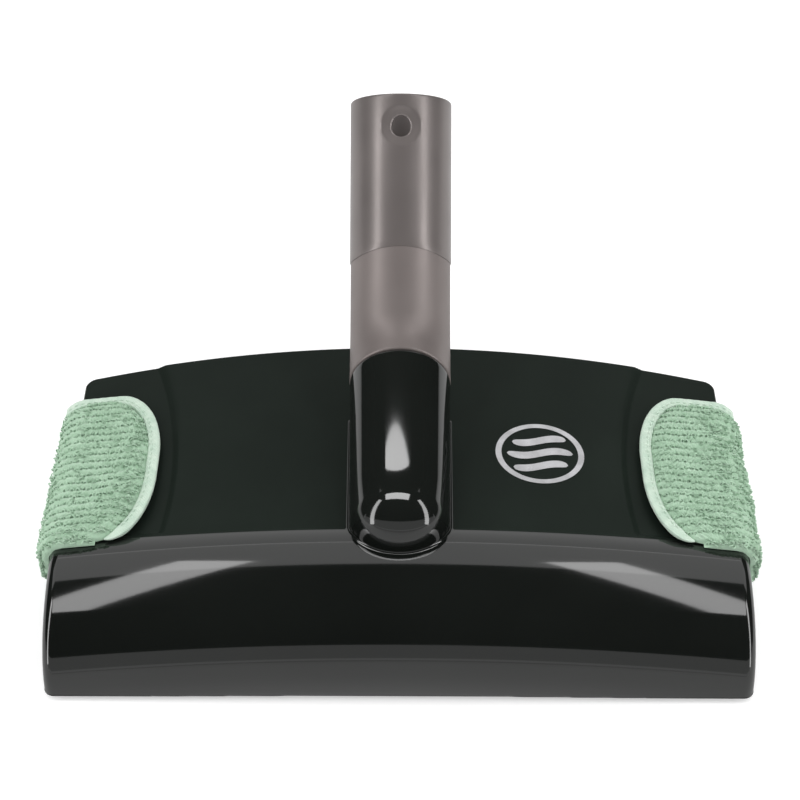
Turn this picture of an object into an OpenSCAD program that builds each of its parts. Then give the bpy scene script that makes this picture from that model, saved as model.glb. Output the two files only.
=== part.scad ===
// Hard-floor suction head with a swivelling wand elbow and a wrap-around microfibre pad.
// Frame: +X to the right, +Y to the back, +Z up. The origin is on the floor under the middle of the head.
// A "d" value is a distance behind the front of the nose.

/* [Head] */
// Width over the nose
head_w = 250; // [205:1:300]
// Depth from the nose to the back edge
head_d = 152; // [126:1:184]
// How much narrower the deck is than the nose
deck_step = 3.4; // [2:0.1:6]
// Height of the nose crest
nose_h = 38.6; // [34:0.1:46]
// Depth of the nose, up to the crease where the deck starts
nose_d = 48.7; // [44:0.1:56]
// Fall of the cover from the nose crest to the crease
crease_drop = 1.6; // [1:0.1:3]
// Height of the deck at its back edge
back_h = 24; // [20:0.1:28]
// Radius of the crown across the width
crown_r = 800; // [700:10:1500]
// Radius of the bow of the back edge
bow_r = 786; // [600:10:1500]
// Radius of the deck's back corners
back_corner_r = 9; // [4:0.5:14]
// Radius of the nose's front corners
front_corner_r = 4; // [3.2:0.2:8]
// Wall of the moulded cover
wall = 2.4; // [2:0.1:3]
// Height of the nose's lower edge above the floor
nose_gap = 2.6; // [2:0.1:4]
// Depth of the recess that takes the pad flaps
recess_h = 1.2; // [0.8:0.1:1.6]

/* [Swivel and wand] */
// Outer radius of the wand sleeve
sleeve_r = 19.05; // [18:0.05:22]
// Inner radius of the wand sleeve, which is the wand's outer radius and a clearance
socket_r = 16.05; // [15.5:0.05:16.8]
// Length of the wand sleeve
sleeve_l = 53.5; // [45:0.5:70]
// Angle of the wand above the floor
wand_tilt = 39.4; // [30:0.1:50]
// Radius of the elbow's bend
bend_r = 38; // [32:0.5:50]
// Straight length between the bend and the sleeve
lower_l = 27; // [20:0.5:36]
// Radius of the lock hole in the sleeve
lock_r = 4; // [3:0.1:5]
// Distance of the lock hole from the sleeve's end
lock_d = 12; // [10:0.5:18]
// Length of deck behind the swivel mouth
tail_d = 44; // [38:0.5:60]
// Radius of the swivel spigot
spigot_r = 14.55; // [13.8:0.05:14.8]

/* [Pad] */
// Thickness of the terry pile
pile_h = 6; // [4:0.5:7]
// Thickness of the pad's backing
backing_h = 1.5; // [1:0.1:2]
// How far a flap stands out past the end of the deck
flap_out = 7.6; // [5:0.1:10]
// How far a flap reaches in over the deck
flap_in = 34; // [26:0.5:40]
// Width of the binding sewn along a flap's edge
binding_w = 4.5; // [3:0.1:6]

/* [Hidden] */
$fn = 96;
e = 0.05;                       // overlap of cutting bodies

// clearances
fit = 0.3;                      // between pieces that don't touch
run = 0.05;                     // radial clearance of a running fit
seat = 0.02;                    // radial clearance of a seated pin

// stack of the sole, from the floor up
sole_z = pile_h + backing_h;    // top of the pad
hook_h = 1.5;
deck_foot = sole_z + hook_h;    // lower edge of the deck and underside of the rear plate
plate_t = 3;
plate_top = deck_foot + plate_t;
frame_z = 4;                    // underside of the frame round the suction mouth
frame_t = 2.5;

// cover profile
crest_d = nose_d - 8.7;
crease_z = nose_h - crease_drop;
deck_fall = (crease_z - back_h) / (head_d - nose_d);
nose_steps = 12;
over = 20;                      // how far the profile runs on behind the back edge
function deck_z(d) = crease_z - (d - nose_d) * deck_fall;
function fy(d) = d - head_d / 2;
function bez3(a, b, c, p, t) =
    pow(1 - t, 3) * a + 3 * pow(1 - t, 2) * t * b + 3 * (1 - t) * t * t * c + pow(t, 3) * p;
function nose_pt(t) =
    bez3([1, nose_gap], [-2.5, 0.57 * nose_h], [12, nose_h], [crest_d, nose_h], t);
function shoulder_pt(t) =
    [crest_d + (nose_d - crest_d) * t, nose_h - crease_drop * t * t];
cover_profile = concat([for (i = [0:nose_steps]) nose_pt(i / nose_steps)],
    [for (i = [1:3]) shoulder_pt(i / 3)], [[head_d + over, deck_z(head_d + over)]]);
function unit(v) = v / norm(v);
function seg_normal(p, q) = unit([p[1] - q[1], q[0] - p[0]]);
function vertex_normal(pts, i) =
    let (a = seg_normal(pts[max(i - 1, 0)], pts[max(i, 1)]),
         b = seg_normal(pts[min(i, len(pts) - 2)], pts[min(i + 1, len(pts) - 1)]),
         m = unit(a + b))
    m / (m * a);
// the profile moved outwards by w, or inwards where w is negative
function grown(pts, w) = [for (i = [0:len(pts) - 1]) pts[i] + w * vertex_normal(pts, i)];

// plan outline of the cover
function back_y(x) = fy(head_d) - x * x / (2 * bow_r);
function arc(cx, cy, r, a0, a1, n) =
    [for (i = [0:n]) let (a = a0 + (a1 - a0) * i / n) [cx + r * cos(a), cy + r * sin(a)]];
function half_plan(g) =
    let (wn = head_w / 2 + g, wd = head_w / 2 - deck_step / 2 + g,
         rf = front_corner_r + g, rb = back_corner_r + g, xb = wd - rb)
    concat(arc(wn - rf, fy(0) - g + rf, rf, 270, 360, 6),
        [[wn, fy(nose_d) - 2], [wd, fy(nose_d) - 1]],
        arc(xb, back_y(xb) + g - rb, rb, 0, 84, 6),
        [for (i = [5:-1:0]) [xb * i / 6, back_y(xb * i / 6) + g]]);
function flipped(pts) = [for (i = [len(pts) - 1:-1:0]) [-pts[i][0], pts[i][1]]];
function full_plan(g) = concat(half_plan(g), flipped(half_plan(g)));

// hump and swivel
mouth_d = head_d - tail_d;
elbow_r = sleeve_r - 0.3;
deck_gap = 0.75;                // elbow above the deck
swivel_z = deck_z(mouth_d) + deck_gap + elbow_r;
hump_r0 = elbow_r - 1.25;       // hump radius at its tip
hump_r1 = elbow_r - 0.15;       // hump radius at its mouth
tip_reach = 5;                  // how far the tip runs over the nose's crest
tip_d = crest_d - tip_reach + hump_r0;  // centre of the rounded tip
tip_z = crease_z + 1.5;
hump_run = mouth_d - tip_d;
hump_rise = atan((swivel_z - tip_z) / hump_run);
hump_l = hump_run / cos(hump_rise);
function hump_axis_z(d) = tip_z + (d - tip_d) * tan(hump_rise);
lip_t = 2.7;                    // wall round the mouth
pocket_l = 4.3;                 // pocket for the retainer behind that wall
pocket_r = spigot_r + 1.55;
cavity_end = mouth_d - lip_t - pocket_l + e;
face_gap = 0.6;                 // between the mouth and the elbow's shoulder
spigot_bore = spigot_r - 1.65;
elbow_bore = 14;
lead = 3;                       // straight part of the elbow before its bend
bend_d = mouth_d + face_gap + lead;
neck_l = 8;                     // neck of the elbow inside the sleeve
neck_r = socket_r + 1;          // counterbore of the sleeve that takes the neck and the seal
seal_t = 2;
retainer_t = 2;
retainer_d = mouth_d - lip_t - 0.3 - retainer_t;
groove = 0.55;                  // depth of the retainer's groove

// duct
duct_w = 25.2;                  // clear width of the duct
trough_w = 2 * (hump_r0 - wall - 0.5);
trough_d = nose_d + 0.8;
split_drop = 6;                 // joint of trough and hump below the hump's axis
gasket_t = 1.2;
ledge_t = 1.5;
ramp_t = 2.4;
function split_z(d) = hump_axis_z(d) - split_drop;

// suction mouth, rollers and wipers
mouth_w = head_w - 42;
mouth_front = 12;
mouth_back = nose_d - 6.7;
roller_r = 7;
roller_w = 7;
roller_x = head_w / 2 - 13;
roller_d = 24;
roller_z = roller_r + 0.2;
axle_r = 1.5;
axle_l = 13;
bracket_t = 2;
wiper_t = 2;
wiper_z = 0.4;

// screws
screw_r = 1.3;
head_r = 2.7;
head_h = 1.8;
boss_r = 3.4;
screw_x = [0.16 * head_w, 0.4 * head_w];
screw_rows = [nose_d + 12, head_d - 17];
screws = [for (x = screw_x, d = screw_rows, s = [-1, 1]) [s * x, fy(d)]];
screw_l = 6.5;

// pad
pad_front = nose_d + 3.5;
flap_front = fy(pad_front) - 13.2;  // where the flap would end if the nose didn't cut it short
flap_back = fy(head_d) - 26;
deck_half = (head_w - deck_step) / 2;
flap_x0 = deck_half - flap_in;
flap_x1 = deck_half + flap_out;
flap_corner_r = 13;
recess_in = flap_in + 6.1;      // the recess reaches in past the flap
recess_r = 205.9;               // radius of its curved edge
recess_y = 3.6;                 // where that edge bows in furthest
flap_under = hook_h + fit;      // underside of the flap above the deck
flap_top = flap_under + 4.7;
binding_top = flap_under + 2.4;

// ---------- helpers ----------

// Solid under the crowned surface that the profile makes, down to the height low
module crowned(profile, low) {
    base = crown_r - nose_h;
    ring = concat([for (p = profile) [base + p[1], fy(p[0])]],
        [[base + low, fy(profile[len(profile) - 1][0])], [base + low, fy(profile[0][0])]]);
    translate([0, 0, nose_h - crown_r])
        rotate([-90, 0, 0])
            rotate([0, 0, 258])
                rotate_extrude(angle = 24, $fn = 420) polygon(ring);
}

// A drawing in the Y-Z plane, thickened along X
module along_x(w) {
    rotate([90, 0, 90]) linear_extrude(w, center = true) children();
}

// A drawing in the Y-Z plane that fills x0 to x1
module along_x_at(x0, x1) {
    translate([(x0 + x1) / 2, 0, 0]) along_x(x1 - x0) children();
}

module slab(x0, x1, y0, y1, z0, z1) {
    translate([x0, y0, z0]) cube([x1 - x0, y1 - y0, z1 - z0]);
}

// Places its children at a point of the swivel axis, pointing back along it
module on_swivel(d) {
    translate([0, fy(d), swivel_z]) rotate([-90, 0, 0]) children();
}

// Places its children on the wand's axis, l past the end of the bend
module on_wand(l) {
    translate([0, fy(bend_d) + bend_r * sin(wand_tilt), swivel_z + bend_r * (1 - cos(wand_tilt))])
        rotate([wand_tilt - 90, 0, 0])
            translate([0, 0, l]) children();
}

module tube(l, ro, ri) {
    difference() {
        cylinder(h = l, r = ro);
        translate([0, 0, -e]) cylinder(h = l + 2 * e, r = ri);
    }
}

// Body of the cover: the crowned profile inside the plan outline
module cover_body(g) {
    intersection() {
        crowned(grown(cover_profile, g), -30);
        linear_extrude(80) polygon(full_plan(g));
    }
}

// Hump with its radii changed by g: a rounded tip, a cone that rises to the mouth, and upright sides.
// Each part stands e proud of the next, so that no two surfaces only touch.
module hump_body(g, d_end, low) {
    r0 = hump_r0 + g;
    r1 = hump_r1 + g;
    intersection() {
        union() {
            translate([0, fy(tip_d), tip_z]) sphere(r = r0 + e);
            translate([0, fy(tip_d), tip_z])
                rotate([hump_rise - 90, 0, 0])
                    cylinder(h = hump_l * 1.2, r1 = r0, r2 = r0 + (r1 - r0) * 1.2);
            intersection() {
                linear_extrude(90) union() {
                    translate([0, fy(tip_d)]) circle(r = r0 - e);
                    polygon([[0.4 - r0, fy(tip_d) - 2], [r0 - 0.4, fy(tip_d) - 2],
                        [r1 - e, fy(mouth_d) + 1], [e - r1, fy(mouth_d) + 1]]);
                }
                along_x(80) polygon([[fy(0), low], [fy(head_d), low],
                    [fy(head_d), hump_axis_z(head_d)], [fy(0), hump_axis_z(0)]]);
            }
        }
        slab(-60, 60, fy(0), fy(d_end), low, 120);
    }
}

// Outside of the deck's ends, where the surface is lower to take the flaps
module recess_cut(side) {
    difference() {
        intersection() {
            translate([side * (deck_half - recess_in + recess_r), recess_y, 0])
                cylinder(h = 60, r = recess_r, $fn = 240);
            slab(-head_w, head_w, fy(nose_d) + 1.5, fy(head_d) + 30, 0, 60);
        }
        crowned(grown(cover_profile, -recess_h), -30);
    }
}

module sides() {
    for (s = [-1, 1]) mirror([s < 0 ? 1 : 0, 0, 0]) children();
}

// ---------- head ----------

module top_cover() {
    color([0.13, 0.14, 0.13]) difference() {
        union() {
            difference() {
                cover_body(0);
                for (s = [-1, 1]) recess_cut(s);
            }
            hump_body(0, mouth_d, deck_foot);
        }
        difference() {
            union() {
                cover_body(-wall);
                hump_body(-wall, cavity_end, 0);
            }
            // ledges that press on the duct's gasket
            sides() along_x_at(duct_w / 2, hump_r1)
                polygon([[fy(trough_d), split_z(trough_d)],
                    [fy(cavity_end), split_z(cavity_end)],
                    [fy(cavity_end), split_z(cavity_end) + ledge_t],
                    [fy(trough_d), split_z(trough_d) + ledge_t]]);
            for (p = screws) translate([p[0], p[1], plate_top]) cylinder(h = 40, r = boss_r);
            // wall round the mouth, down to the deck
            slab(-hump_r1, hump_r1, fy(cavity_end), fy(mouth_d), deck_z(mouth_d) - wall, 90);
        }
        // flat lower edges
        slab(-head_w, head_w, fy(-20), fy(head_d + over), -60, nose_gap);
        slab(-head_w, head_w, fy(nose_d + 1), fy(head_d + over), -60, deck_foot);
        on_swivel(mouth_d - 20) cylinder(h = 30, r = spigot_r + run);
        on_swivel(cavity_end - e) cylinder(h = pocket_l, r = pocket_r);
        for (p = screws) translate([p[0], p[1], plate_top - e])
            cylinder(h = screw_l - plate_t + 1, r = screw_r + seat);
    }
}

module base_plate() {
    color([0.2, 0.2, 0.21]) difference() {
        intersection() {
            union() {
                slab(-head_w, head_w, fy(nose_d - 2.2), fy(head_d), deck_foot, plate_top);
                slab(-head_w, head_w, fy(0), fy(nose_d + 0.3), frame_z, frame_z + frame_t);
                // wall between the suction chamber and the deck
                slab(-head_w, head_w, fy(nose_d - 2.2), fy(nose_d + 0.3), frame_z, nose_h);
                sides() for (x = [roller_x - axle_l / 2, roller_x + axle_l / 2 - bracket_t])
                    slab(x, x + bracket_t, fy(roller_d - 5), fy(roller_d + 5), frame_z, roller_z + 5);
            }
            intersection() {
                crowned(grown(cover_profile, -wall - fit), -30);
                linear_extrude(80) polygon(full_plan(-wall - fit));
            }
        }
        // suction mouth, duct opening and roller pockets
        slab(-mouth_w / 2, mouth_w / 2, fy(mouth_front), fy(mouth_back), 0, frame_z + frame_t + e);
        slab(-duct_w / 2, duct_w / 2, fy(nose_d - 4), fy(nose_d + 1), plate_top + ramp_t, nose_h);
        sides() slab(roller_x - roller_w / 2 - 0.8, roller_x + roller_w / 2 + 0.8,
            fy(roller_d - roller_r - 1.5), fy(roller_d + roller_r + 1.5), 0, roller_z - 0.1);
        sides() translate([roller_x - axle_l / 2 - e, fy(roller_d), roller_z])
            rotate([0, 90, 0]) cylinder(h = axle_l + 2 * e, r = axle_r + seat);
        for (p = screws) translate([p[0], p[1], 0]) {
            cylinder(h = plate_top + 1, r = screw_r + 0.2);
            translate([0, 0, deck_foot - e]) cylinder(h = head_h + e, r = head_r + 0.2);
        }
    }
}

module duct_trough() {
    color([0.25, 0.25, 0.26]) difference() {
        along_x(trough_w) polygon([[fy(trough_d), plate_top], [fy(cavity_end) - 0.6, plate_top],
            [fy(cavity_end) - 0.6, split_z(cavity_end - 0.6) - gasket_t],
            [fy(trough_d), split_z(trough_d) - gasket_t]]);
        along_x(duct_w) polygon([[fy(trough_d) - 1, plate_top + ramp_t],
            [fy(trough_d) + 6, plate_top + ramp_t],
            [fy(cavity_end), swivel_z - spigot_r - 0.4],
            [fy(cavity_end), 90], [fy(trough_d) - 1, 90]]);
    }
}

module duct_gasket() {
    color([0.1, 0.1, 0.1]) sides() along_x_at(duct_w / 2, trough_w / 2)
        polygon([[fy(trough_d), split_z(trough_d) - gasket_t],
            [fy(cavity_end) - 0.6, split_z(cavity_end - 0.6) - gasket_t],
            [fy(cavity_end) - 0.6, split_z(cavity_end - 0.6)],
            [fy(trough_d), split_z(trough_d)]]);
}

module front_wiper() {
    pitch = 16;
    gap = 4;
    n = floor(mouth_w / pitch / 2);
    color([0.12, 0.12, 0.12]) difference() {
        slab(-mouth_w / 2, mouth_w / 2, fy(mouth_front - 5), fy(mouth_front - 5 + wiper_t),
            wiper_z, frame_z);
        for (i = [-n:n]) slab(i * pitch - gap / 2, i * pitch + gap / 2,
            fy(mouth_front - 6), fy(mouth_front), 0, frame_z - 1.2);
    }
}

module rear_wiper() {
    color([0.12, 0.12, 0.12])
        slab(-mouth_w / 2, mouth_w / 2, fy(mouth_back + 1.5), fy(mouth_back + 1.5 + wiper_t),
            wiper_z, frame_z);
}

module roller(side) {
    crown = 0.8;
    color([0.3, 0.3, 0.31]) translate([side * roller_x, fy(roller_d), roller_z])
        rotate([0, 90, 0]) rotate_extrude() polygon([[axle_r + run, -roller_w / 2],
            [roller_r - crown, -roller_w / 2], [roller_r, -roller_w / 2 + crown],
            [roller_r, roller_w / 2 - crown], [roller_r - crown, roller_w / 2],
            [axle_r + run, roller_w / 2]]);
}

module roller_axle(side) {
    color([0.75, 0.76, 0.78]) translate([side * roller_x - axle_l / 2, fy(roller_d), roller_z])
        rotate([0, 90, 0]) cylinder(h = axle_l, r = axle_r);
}

module roller_left() { roller(-1); }
module roller_right() { roller(1); }
module roller_axle_left() { roller_axle(-1); }
module roller_axle_right() { roller_axle(1); }

module cover_screws() {
    color([0.7, 0.7, 0.72]) for (p = screws) translate([p[0], p[1], deck_foot]) difference() {
        union() {
            cylinder(h = head_h, r = head_r);
            cylinder(h = screw_l, r = screw_r);
        }
        translate([-0.4, -1.8, -e]) cube([0.8, 3.6, 0.9]);
        translate([-1.8, -0.4, -e]) cube([3.6, 0.8, 0.9]);
    }
}

// ---------- elbow and wand sleeve ----------

module elbow_bend(r, more = 0) {
    translate([0, fy(bend_d), swivel_z + bend_r]) rotate([0, 90, 0])
        rotate_extrude(angle = wand_tilt + more, $fn = 240) translate([bend_r, 0]) circle(r = r);
}

module swivel_elbow() {
    shoulder = mouth_d + face_gap;
    color([0.42, 0.4, 0.39]) difference() {
        union() {
            on_swivel(retainer_d - 1.5) cylinder(h = bend_d - retainer_d, r = spigot_r);
            on_swivel(shoulder) cylinder(h = lead, r = elbow_r);
            elbow_bend(elbow_r, more = 0.3);
            on_wand(0) cylinder(h = lower_l, r = elbow_r + e);
            on_wand(e) cylinder(h = lower_l + neck_l - e, r = neck_r - run);
        }
        on_swivel(retainer_d - 2) cylinder(h = bend_d - retainer_d + 2, r = spigot_bore);
        elbow_bend(elbow_bore);
        on_wand(0) cylinder(h = lower_l + neck_l + e, r = elbow_bore);
        on_swivel(retainer_d - 0.1) tube(retainer_t + 0.2, spigot_r + 1, spigot_r - groove);
        on_swivel(shoulder - e) tube(seal_t - face_gap + 0.2 + e, spigot_r + 2.7, spigot_r + 1);
    }
}

module swivel_retainer() {
    color([0.8, 0.8, 0.8]) difference() {
        on_swivel(retainer_d) tube(retainer_t, spigot_r + 1.25, spigot_r - groove + seat);
        on_swivel(retainer_d - 1) translate([-2.5, 0, 0]) cube([5, 30, retainer_t + 2]);
    }
}

module swivel_seal() {
    color([0.08, 0.08, 0.08])
        on_swivel(mouth_d + 0.1) tube(seal_t - 0.3, spigot_r + 2.6, spigot_r + 1.1);
}

module wand_sleeve() {
    lip = 0.9;                  // rounding of the open end
    bevel = 3;                  // bevel at the lower end
    outer = concat([[socket_r, neck_l + seal_t], [neck_r, neck_l + seal_t], [neck_r, 0],
        [elbow_r + e, 0], [sleeve_r, bevel]],
        arc(sleeve_r - lip, sleeve_l - lip, lip, 0, 90, 6),
        arc(socket_r + lip, sleeve_l - lip, lip, 90, 180, 6));
    dimple_r = 15.8;
    dimple_depth = 1.6;
    color([0.4, 0.38, 0.37]) difference() {
        on_wand(lower_l) rotate_extrude() polygon(outer);
        on_wand(lower_l + sleeve_l - lock_d) rotate([90, 0, 0]) cylinder(h = 30, r = lock_r);
        on_wand(lower_l + sleeve_l - lock_d)
            translate([0, -(sleeve_r + dimple_r - dimple_depth), 0]) sphere(r = dimple_r);
    }
}

module wand_seal() {
    color([0.08, 0.08, 0.08]) on_wand(lower_l + neck_l) tube(seal_t, neck_r - run, elbow_bore + 0.5);
}

// ---------- pad ----------

// Slice of space between two heights above the deck's lowered ends
module deck_layer(h0, h1) {
    difference() {
        crowned(grown(cover_profile, h1 - recess_h), -30);
        crowned(grown(cover_profile, h0 - recess_h), -31);
    }
}

// Plan outline of the right flap, made smaller by g along its free edges
module flap_plan(g) {
    r = flap_corner_r - g;
    polygon(concat([[flap_x1, flap_front + g], [flap_x1, flap_back - g]],
        arc(flap_x0 + g + r, flap_back - g - r, r, 90, 180, 8),
        arc(flap_x0 + g + r, flap_front + g + r, r, 180, 270, 8)));
}

module hook_strip(side) {
    inset = 9;
    color([0.1, 0.1, 0.11]) mirror([side < 0 ? 1 : 0, 0, 0]) intersection() {
        deck_layer(0.1, hook_h);
        slab(flap_x0 + inset, deck_half - 6, flap_front + 16, flap_back - 12, 0, 60);
    }
}

module pad_flap(side) {
    end_front = fy(nose_d) + 1;
    end_back = flap_back + 2;
    color([0.62, 0.78, 0.66]) mirror([side < 0 ? 1 : 0, 0, 0]) difference() {
        intersection() {
            crowned(grown(cover_profile, flap_top - recess_h), -30);
            linear_extrude(60) union() {
                intersection() {
                    flap_plan(binding_w + 0.2);
                    translate([0, end_front]) square([head_w, head_d]);
                }
                polygon(concat([[deck_half + fit, end_front], [flap_x1 - 3, end_front],
                    [flap_x1, end_front + 6]],
                    arc(flap_x1 - 7, end_back - 7, 7, 0, 90, 6), [[deck_half + fit, end_back]]));
            }
        }
        intersection() {
            crowned(grown(cover_profile, flap_under - recess_h), -30);
            translate([0, 0, -40]) linear_extrude(120) polygon(full_plan(fit));
        }
    }
}

module pad_binding(side) {
    color([0.72, 0.8, 0.7]) mirror([side < 0 ? 1 : 0, 0, 0]) intersection() {
        deck_layer(flap_under, binding_top);
        linear_extrude(60) difference() {
            flap_plan(0);
            flap_plan(binding_w);
            translate([deck_half - 4, -head_d]) square([head_w, 2 * head_d]);
            translate([0, -2 * head_d + fy(nose_d) + 1]) square([head_w, 2 * head_d]);
        }
    }
}

module hook_strip_left() { hook_strip(-1); }
module hook_strip_right() { hook_strip(1); }
module pad_flap_left() { pad_flap(-1); }
module pad_flap_right() { pad_flap(1); }
module pad_binding_left() { pad_binding(-1); }
module pad_binding_right() { pad_binding(1); }

module sole_hook_strips() {
    strip = 15;
    color([0.1, 0.1, 0.11]) for (d = [pad_front + 16, (pad_front + head_d) / 2, head_d - 34])
        slab(-deck_half + 12, deck_half - 12, fy(d), fy(d + strip), sole_z, deck_foot);
}

// Plan of the pad under the sole
module sole_plan() {
    intersection() {
        polygon(full_plan(0));
        translate([-head_w, fy(pad_front)]) square([2 * head_w, head_d]);
    }
}

module pad_backing() {
    color([0.85, 0.86, 0.84]) translate([0, 0, pile_h]) linear_extrude(backing_h) sole_plan();
}

module pad_pile() {
    color([0.62, 0.78, 0.66]) linear_extrude(pile_h) sole_plan();
}

top_cover();
base_plate();
duct_trough();
duct_gasket();
front_wiper();
rear_wiper();
roller_left();
roller_right();
roller_axle_left();
roller_axle_right();
cover_screws();
swivel_elbow();
swivel_retainer();
swivel_seal();
wand_sleeve();
wand_seal();
hook_strip_left();
hook_strip_right();
sole_hook_strips();
pad_backing();
pad_pile();
pad_flap_left();
pad_flap_right();
pad_binding_left();
pad_binding_right();
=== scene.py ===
"""Looks of a hard-floor suction head: glossy black cover with a ridge, pewter wand elbow, green terry pad."""

import math

import bmesh
import bpy
import numpy as np
from mathutils import Matrix, Quaternion, Vector


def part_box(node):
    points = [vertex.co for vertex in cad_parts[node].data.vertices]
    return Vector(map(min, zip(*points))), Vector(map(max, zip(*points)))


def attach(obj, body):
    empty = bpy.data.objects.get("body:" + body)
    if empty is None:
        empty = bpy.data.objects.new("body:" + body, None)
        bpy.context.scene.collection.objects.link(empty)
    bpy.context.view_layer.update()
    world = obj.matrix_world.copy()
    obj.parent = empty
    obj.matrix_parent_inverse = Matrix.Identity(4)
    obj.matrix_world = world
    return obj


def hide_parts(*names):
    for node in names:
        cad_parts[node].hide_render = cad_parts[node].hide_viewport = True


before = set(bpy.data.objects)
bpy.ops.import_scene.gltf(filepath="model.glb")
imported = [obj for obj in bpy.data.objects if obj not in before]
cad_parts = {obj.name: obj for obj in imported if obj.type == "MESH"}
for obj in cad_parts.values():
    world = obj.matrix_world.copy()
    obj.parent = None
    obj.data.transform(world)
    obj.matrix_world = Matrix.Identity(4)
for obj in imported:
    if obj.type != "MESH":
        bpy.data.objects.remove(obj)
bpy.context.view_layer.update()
MM = 0.001

# ---------- sizes of the head, in millimetres; y runs from the front (-) to the back (+) ----------

HALF_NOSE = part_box("top_cover")[1].x / MM
HALF_DECK = HALF_NOSE - 1.7
FRONT_Y = -76.0
CREST_Y = -36.0
CREASE_Y = -27.3
CREASE_Z = 37.0
NOSE_Z = 38.6
NOSE_LOW = 2.6
DECK_LOW = 9.0
DECK_FALL = 0.12585
CROWN_R = 800.0
BOW_R = 786.0
BACK_Y = 76.0
BACK_CORNER_R = 5.0
WALL = 2.4
NOSE_EDGE_R = 3.6
DECK_EDGE_R = 1.3
RECESS_DEEP = 1.2
RECESS_R = 205.9
RECESS_X = 289.1
RECESS_Y = 3.6
STEP_HALF = 1.6
DECK_NORMAL = (0.124, 0.992)

HUMP_TIP_Y = -25.5
HUMP_SLOPE = 0.1899
HUMP_LEVEL = 10.0
HUMP_REACH = 13.9
HUMP_TIP_HALF = 17.7
HUMP_FLARE = 0.9
MOUTH_Y = 32.0
MOUTH_R = 14.6
SWIVEL_Z = 49.037
ELBOW_R = 18.75
SLEEVE_R = 19.05
SOCKET_R = 16.05
BEND_Y = 35.6
BEND_R = 38.0
TILT = math.radians(39.4)
SHOULDER_Y = 32.6
SHOULDER_ROUND = 0.7
SPIGOT_R = 14.55
SPIGOT_BORE = 12.9
SPIGOT_LENGTH = 10.4
NECK_R = 16.9
NECK_END = 35.0
DUCT_R = 14.0
SLEEVE_START = 27.0
SLEEVE_STOP = 37.0
SLEEVE_LIP = 0.9
SLEEVE_LIP_AT = 79.6
LOCK_AT = 68.5
LOCK_R = 4.0

FLAP_IN = 89.3
FLAP_OUT = 130.9
FLAP_BACK = 50.0
FLAP_TIP = 34.3
FLAP_UNDER = 1.8
FLAP_BACK_ROUND = 15.0
FLAP_FRONT_ROUND = 4.0
BITE_BACK = 18.0
BITE_FRONT = 16.0
FLAP_BEND_R = 6.2
FLAP_THICK = 3.3
BINDING_W = 4.5
BINDING_OVER = 1.2
STITCH_IN = 0.9
SOLE_BACKING_Z = 6.0
BACKING_TOP_Z = 7.45


# ---------- mesh helpers ----------

def mesh_piece(name, verts, faces, materials, smooth_angle=40, face_material=None, weld=0.004):
    """An object from points in millimetres and faces; points that coincide are welded, which closes poles and
    seams, and edges sharper than the smooth angle stay sharp."""
    mesh = bpy.data.meshes.new(name)
    mesh.from_pydata((np.asarray(verts, float) * MM).tolist(), [], [list(map(int, f)) for f in faces])
    for material in materials:
        mesh.materials.append(material)
    if face_material is not None:
        mesh.polygons.foreach_set("material_index", np.asarray(face_material, np.int32))
    obj = bpy.data.objects.new(name, mesh)
    bpy.context.scene.collection.objects.link(obj)
    bm = bmesh.new()
    bm.from_mesh(mesh)
    bmesh.ops.remove_doubles(bm, verts=bm.verts, dist=weld * MM)
    bmesh.ops.dissolve_degenerate(bm, edges=bm.edges, dist=weld * MM)
    bmesh.ops.recalc_face_normals(bm, faces=bm.faces)
    bm.to_mesh(mesh)
    bm.free()
    mesh.shade_smooth()
    mesh.set_sharp_from_angle(angle=math.radians(smooth_angle))
    return obj


def grid_faces(rows, cols, close_rows=False, close_cols=False, offset=0):
    """Quads of a grid of rows by cols points; a closed direction wraps round."""
    r = np.arange(rows if close_rows else rows - 1)
    c = np.arange(cols if close_cols else cols - 1)
    i, j = np.meshgrid(r, c, indexing="ij")
    i2, j2 = (i + 1) % rows, (j + 1) % cols
    quads = np.stack([i * cols + j, i * cols + j2, i2 * cols + j2, i2 * cols + j], -1)
    return quads.reshape(-1, 4) + offset


def shell(outer, inner, faces):
    """A closed wall: the kept faces of an outer sheet, the same of an inner sheet turned over, and a strip
    along every edge that only one kept face has. Points that coincide count as one, so seams get no strip."""
    n = len(outer)
    edges = np.concatenate([faces[:, [k, (k + 1) % 4]] for k in range(4)])
    _, same = np.unique(np.round(outer / 0.01).astype(int), axis=0, return_inverse=True)
    key = np.sort(same.ravel()[edges], 1)
    solid = key[:, 0] != key[:, 1]
    edges, key = edges[solid], key[solid]
    _, first, count = np.unique(key, axis=0, return_index=True, return_counts=True)
    rim = edges[first[count == 1]]
    strip = np.stack([rim[:, 1], rim[:, 0], rim[:, 0] + n, rim[:, 1] + n], 1)
    return np.concatenate([outer, inner]), np.concatenate([faces, faces[:, ::-1] + n, strip])


def hand_over(obj, node, body):
    """Hides the part that a piece stands in for, if one is given, and hangs the piece on the
    body it rides on."""
    if node:
        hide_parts(node)
    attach(obj, body)
    return obj


def smooth(t):
    """Smooth step from 0 to 1: t squared times (3 - 2 t)."""
    t = np.clip(t, 0, 1)
    return t * t * (3 - 2 * t)


def crown_drop(x):
    """How far the crowned surface lies below its middle at x: the drop of a circle, r - root(r^2 - x^2)."""
    return CROWN_R - np.sqrt(CROWN_R ** 2 - x ** 2)


def deck_z(x, y):
    """Height of the plain deck: a slope to the back, crowned across."""
    return CREASE_Z - (y - CREASE_Y) * DECK_FALL - crown_drop(x)


def recess_edge(y):
    """Half-width at which the lowered ends of the deck begin, an arc that bows towards the middle."""
    return RECESS_X - np.sqrt(RECESS_R ** 2 - (np.minimum(y, 75) - RECESS_Y) ** 2)


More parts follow.
